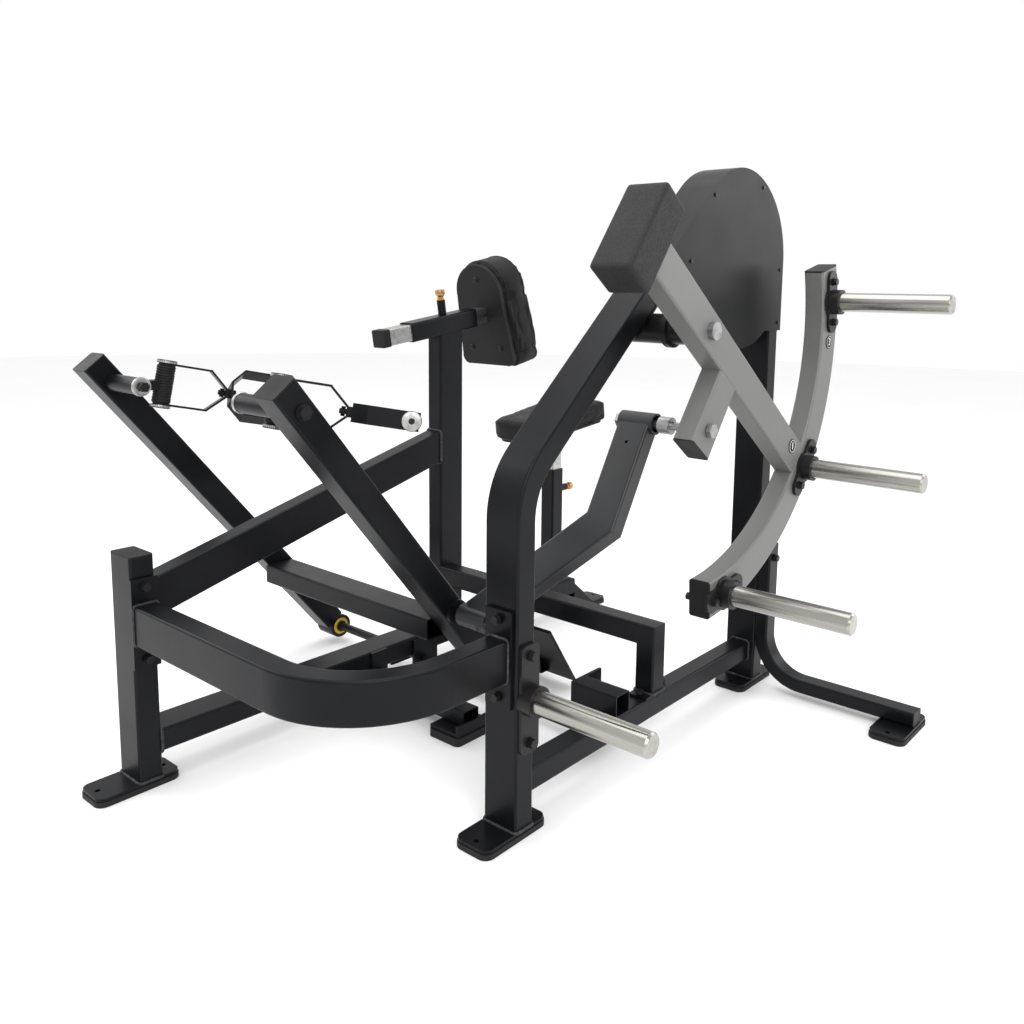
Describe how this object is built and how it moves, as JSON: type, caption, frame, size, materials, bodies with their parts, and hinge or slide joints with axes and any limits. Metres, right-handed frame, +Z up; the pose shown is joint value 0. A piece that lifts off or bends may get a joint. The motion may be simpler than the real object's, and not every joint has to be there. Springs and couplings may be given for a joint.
{
  "type": "plate-loaded seated row machine",
  "caption": "Plate-loaded seated row with chest pad: arched frame, counterweighted weight arm on a drive link, lever with swivel handles, adjustable seat.",
  "frame": {"origin": "centre of the machine's bounding box, on the floor", "axes": "+X from the handle end to the seat end, +Y from the weight-arm side to the far side, +Z up"},
  "size_m": [1.823, 1.7242, 1.4425],
  "materials": {
    "main_arch": "satin black powder coat",
    "near_rail": "satin black powder coat",
    "front_post": "satin black powder coat",
    "guard_tube": "satin black powder coat",
    "far_rail": "satin black powder coat",
    "chest_post": "satin black powder coat",
    "slope_tube": "satin black powder coat",
    "seat_brace": "satin black powder coat",
    "outrigger": "satin black powder coat",
    "rubber_feet": "matt black rubber",
    "tube_end_caps": "black plastic cap",
    "frame_bolts": "black oxide steel",
    "shield_front": "fine-textured black powder coat",
    "shield_back": "fine-textured black powder coat",
    "arch_bearings": "black oxide steel",
    "storage_horn": "turned and polished steel",
    "storage_flange": "black oxide steel",
    "stop_block": "satin black powder coat",
    "axle_hanger": "satin black powder coat",
    "lever_axle": "ground steel",
    "side_step": "satin black powder coat",
    "step_tread": "matt black rubber",
    "weight_arm": "silver-grey metallic powder coat",
    "horn_arc": "silver-grey metallic powder coat",
    "counterweight": "coarse textured black coating over a steel block",
    "pivot_shaft": "ground steel",
    "horn_flanges": "black oxide steel",
    "flange_bolts": "black oxide steel",
    "horn_top": "turned and polished steel",
    "horn_middle": "turned and polished steel",
    "horn_bottom": "turned and polished steel",
    "arm_caps": "black plastic cap",
    "arm_pin": "ground steel",
    "number_discs": "black disc with a white ring and a plain number",
    "row_lever": "satin black powder coat",
    "lever_bearings": "yellow-shielded bearing",
    "lever_caps": "black plastic cap",
    "lever_bolts": "black oxide steel",
    "drive_link": "satin black powder coat",
    "link_pin": "black oxide steel",
    "link_bushes": "ground steel",
    "handle_stub_near": "satin black powder coat",
    "handle_yoke_near": "satin black powder coat",
    "grip_frame_near": "satin black powder coat",
    "grip_near": "black ribbed rubber grip",
    "handle_stub_far": "satin black powder coat",
    "handle_yoke_far": "satin black powder coat",
    "grip_frame_far": "satin black powder coat",
    "grip_far": "black ribbed rubber grip",
    "chest_sleeve": "satin black powder coat",
    "chest_slider": "zinc-plated tube",
    "chest_plate": "matt black backing board",
    "chest_pad": "black upholstery leather",
    "chest_pin": "brass-coloured knob and shank",
    "seat_post": "satin black powder coat",
    "seat_slider": "zinc-plated tube",
    "seat_plate": "matt black backing board",
    "seat_pad": "black upholstery leather",
    "seat_pin": "brass-coloured knob and shank",
    "slider_caps": "black plastic cap"
  },
  "bodies": {
    "frame": {"main_arch": "main_arch", "near_rail": "near_rail", "front_post": "front_post", "guard_tube": "guard_tube", "far_rail": "far_rail", "chest_post": "chest_post", "slope_tube": "slope_tube", "seat_brace": "seat_brace", "outrigger": "outrigger", "rubber_feet": "rubber_feet", "tube_end_caps": "tube_end_caps", "frame_bolts": "frame_bolts", "shield_front": "shield_front", "shield_back": "shield_back", "arch_bearings": "arch_bearings", "storage_horn": "storage_horn", "storage_flange": "storage_flange", "stop_block": "stop_block", "axle_hanger": "axle_hanger", "lever_axle": "lever_axle", "side_step": "side_step", "step_tread": "step_tread", "chest_sleeve": "chest_sleeve", "seat_post": "seat_post"},
    "weight_arm": {"weight_arm": "weight_arm", "horn_arc": "horn_arc", "counterweight": "counterweight", "pivot_shaft": "pivot_shaft", "horn_flanges": "horn_flanges", "flange_bolts": "flange_bolts", "horn_top": "horn_top", "horn_middle": "horn_middle", "horn_bottom": "horn_bottom", "arm_caps": "arm_caps", "number_discs": "number_discs", "arm_pin": "arm_pin"},
    "drive_link": {"drive_link": "drive_link", "link_pin": "link_pin", "link_bushes": "link_bushes"},
    "row_lever": {"row_lever": "row_lever", "lever_bearings": "lever_bearings", "lever_caps": "lever_caps", "lever_bolts": "lever_bolts"},
    "handle_stub_near": {"handle_stub_near": "handle_stub_near"},
    "handle_yoke_near": {"handle_yoke_near": "handle_yoke_near"},
    "grip_frame_near": {"grip_frame_near": "grip_frame_near"},
    "grip_near": {"grip_near": "grip_near"},
    "handle_stub_far": {"handle_stub_far": "handle_stub_far"},
    "handle_yoke_far": {"handle_yoke_far": "handle_yoke_far"},
    "grip_frame_far": {"grip_frame_far": "grip_frame_far"},
    "grip_far": {"grip_far": "grip_far"},
    "chest_carriage": {"chest_slider": "chest_slider", "chest_plate": "chest_plate", "chest_pad": "chest_pad", "slider_caps": "slider_caps"},
    "seat_carriage": {"seat_slider": "seat_slider", "seat_plate": "seat_plate", "seat_pad": "seat_pad"},
    "chest_pin": {"chest_pin": "chest_pin"},
    "seat_pin": {"seat_pin": "seat_pin"}
  },
  "joints": [
    {"name": "weight_arm_swing", "type": "hinge", "parent": "frame", "child": "weight_arm", "pos_m": [0.048, -0.5015, 1.044], "axis": [0, -1, 0], "range_deg": [0, 38]},
    {"name": "row_lever_swing", "type": "hinge", "parent": "frame", "child": "row_lever", "pos_m": [0.023, 0.4225, 0.057], "axis": [0, 1, 0], "range_deg": [0, 18.02]},
    {"name": "drive_link_swing", "type": "hinge", "parent": "weight_arm", "child": "drive_link", "pos_m": [0.05103, -0.3395, 0.82281], "axis": [0, 1, 0], "range_deg": [0, 42.5]},
    {"name": "handle_stub_near_tilt", "type": "hinge", "parent": "row_lever", "child": "handle_stub_near", "pos_m": [-0.64569, 0.05929, 0.87689], "axis": [0, -1, 0], "range_deg": [0, 60]},
    {"name": "handle_yoke_near_swivel", "type": "hinge", "parent": "handle_stub_near", "child": "handle_yoke_near", "pos_m": [-0.57569, 0.17729, 0.87689], "axis": [0.2079, 0, 0.9781], "range_deg": [-30, 30]},
    {"name": "grip_frame_near_roll", "type": "hinge", "parent": "handle_yoke_near", "child": "grip_frame_near", "pos_m": [-0.457, 0.07548, 0.85166], "axis": [0.7493, -0.6428, -0.1593], "range_deg": [-60, 60]},
    {"name": "grip_near_spin", "type": "hinge", "parent": "grip_frame_near", "child": "grip_near", "pos_m": [-0.36109, -0.0068, 0.83128], "axis": [0.6287, 0.766, -0.1336], "continuous": true},
    {"name": "handle_stub_far_tilt", "type": "hinge", "parent": "row_lever", "child": "handle_stub_far", "pos_m": [-0.64569, 0.78571, 0.87689], "axis": [0, -1, 0], "range_deg": [0, 60]},
    {"name": "handle_yoke_far_swivel", "type": "hinge", "parent": "handle_stub_far", "child": "handle_yoke_far", "pos_m": [-0.57569, 0.66771, 0.87689], "axis": [0.2079, 0, 0.9781], "range_deg": [-30, 30]},
    {"name": "grip_frame_far_roll", "type": "hinge", "parent": "handle_yoke_far", "child": "grip_frame_far", "pos_m": [-0.43009, 0.61353, 0.84594], "axis": [0.9192, -0.342, -0.1954], "range_deg": [-60, 60]},
    {"name": "grip_far_spin", "type": "hinge", "parent": "grip_frame_far", "child": "grip_far", "pos_m": [-0.31244, 0.56975, 0.82094], "axis": [0.3406, 0.4412, 0.8303], "continuous": true},
    {"name": "chest_pad_slide", "type": "slide", "parent": "frame", "child": "chest_carriage", "axis": [0.9877, 0, 0.1564], "range_m": [-0.04, 0.04]},
    {"name": "seat_height_slide", "type": "slide", "parent": "frame", "child": "seat_carriage", "axis": [0, 0, 1], "range_m": [-0.06, 0.06]},
    {"name": "chest_pin_pull", "type": "slide", "parent": "frame", "child": "chest_pin", "axis": [-0.1564, 0, 0.9877], "range_m": [0, 0.012], "stiffness_N_per_m": 800, "springref_m": -0.01},
    {"name": "seat_pin_pull", "type": "slide", "parent": "frame", "child": "seat_pin", "axis": [1, 0, 0], "range_m": [0, 0.012], "stiffness_N_per_m": 800, "springref_m": -0.01}
  ],
  "couplings": [
    {"joint": "row_lever_swing", "follows": "weight_arm_swing", "ratio": 0.473},
    {"joint": "drive_link_swing", "follows": "weight_arm_swing", "ratio": 1.1172}
  ]
}
